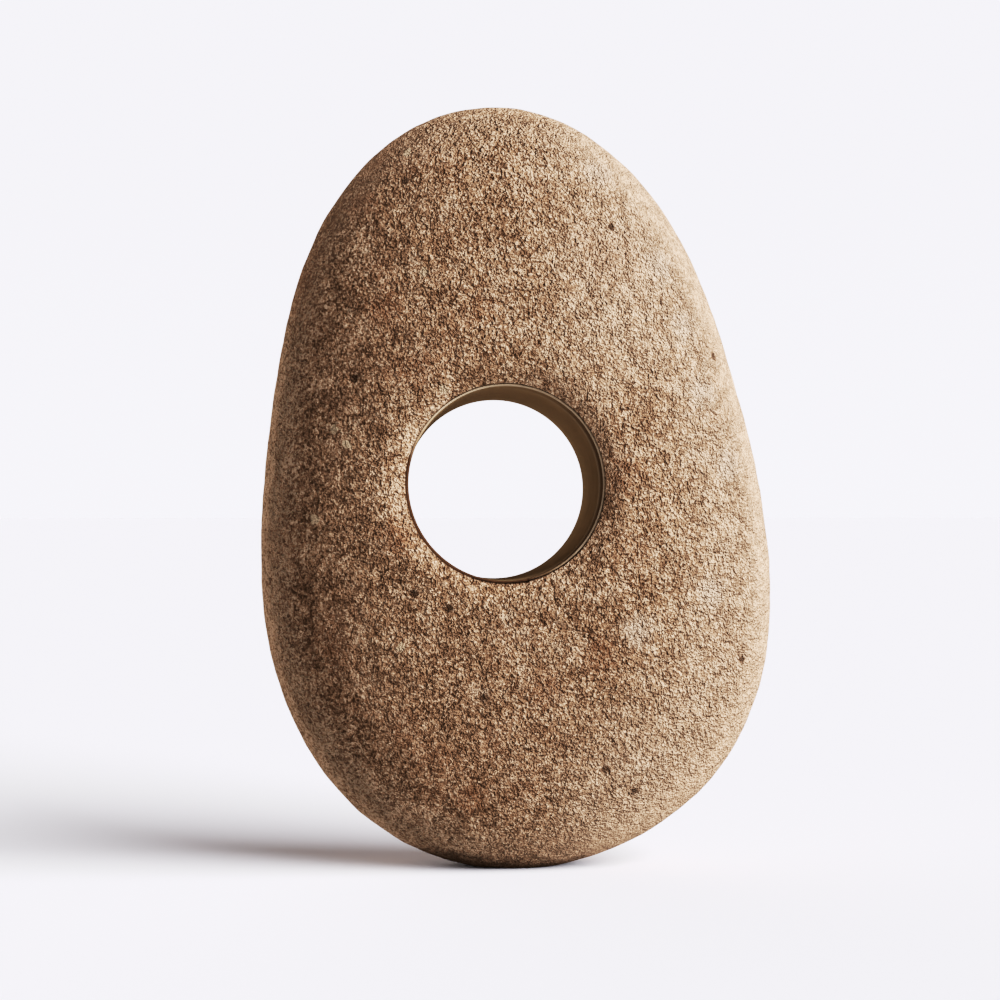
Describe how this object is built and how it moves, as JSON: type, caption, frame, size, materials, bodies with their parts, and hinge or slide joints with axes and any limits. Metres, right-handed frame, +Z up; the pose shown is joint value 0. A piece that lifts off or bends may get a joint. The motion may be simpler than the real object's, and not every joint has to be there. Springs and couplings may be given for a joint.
{
  "type": "river stone",
  "caption": "Egg-shaped, flattened river stone with a round hole bored through its middle, standing on its broad end.",
  "frame": {"origin": "on the surface that the stone stands on, under the middle of the stone's box", "axes": "+Z up, along the stone's length; +X to the right, seen from the front; the pierced front face looks along -Y, so +Y runs through the thickness, from front to back"},
  "size_m": [0.0682, 0.0274, 0.1009],
  "materials": {
    "stone": "matt, worn sandy grain"
  },
  "bodies": {
    "root": {"stone": "stone"}
  },
  "joints": []
}
